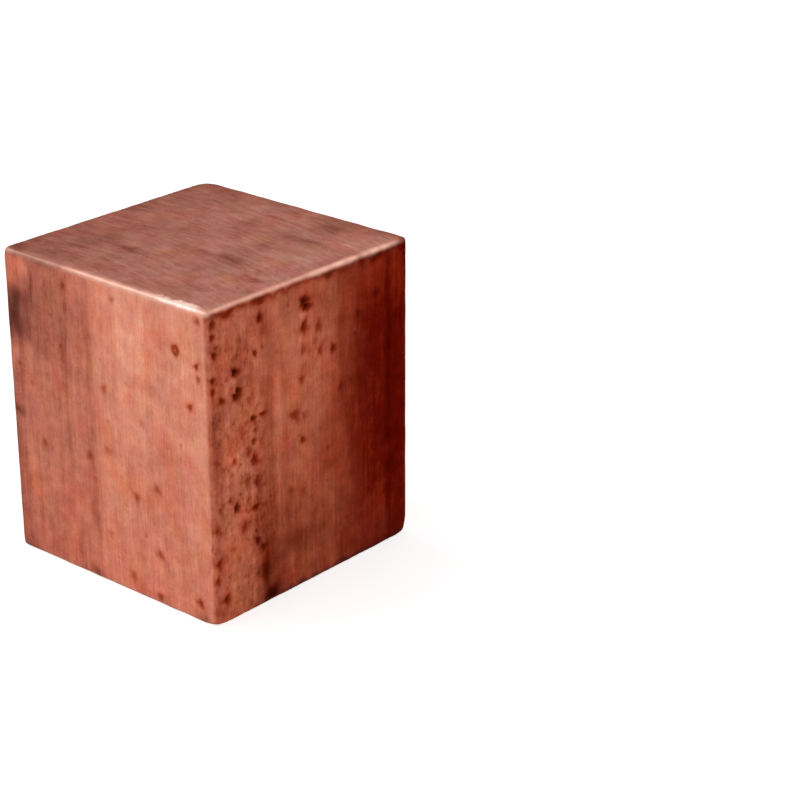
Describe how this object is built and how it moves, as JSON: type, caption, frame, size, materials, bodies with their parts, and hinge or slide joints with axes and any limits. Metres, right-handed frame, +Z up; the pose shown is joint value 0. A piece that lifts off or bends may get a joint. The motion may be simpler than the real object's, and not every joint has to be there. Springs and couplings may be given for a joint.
{
  "type": "copper cube",
  "caption": "Solid near-cubic block of tarnished copper, sawn from drawn square bar, with lightly filed ends and blunted corners; stock for machining or display.",
  "frame": {"origin": "middle of the lower sawn end, on the surface that the block stands on", "axes": "+Z up along the bar, through the upper sawn end; +X and +Y out of two drawn side faces; the picture shows the -Y face on its left and the +X face on its right"},
  "size_m": [0.0254, 0.0254, 0.0292],
  "materials": {
    "copper": null
  },
  "bodies": {
    "root": {"copper_cube": "copper"}
  },
  "joints": []
}
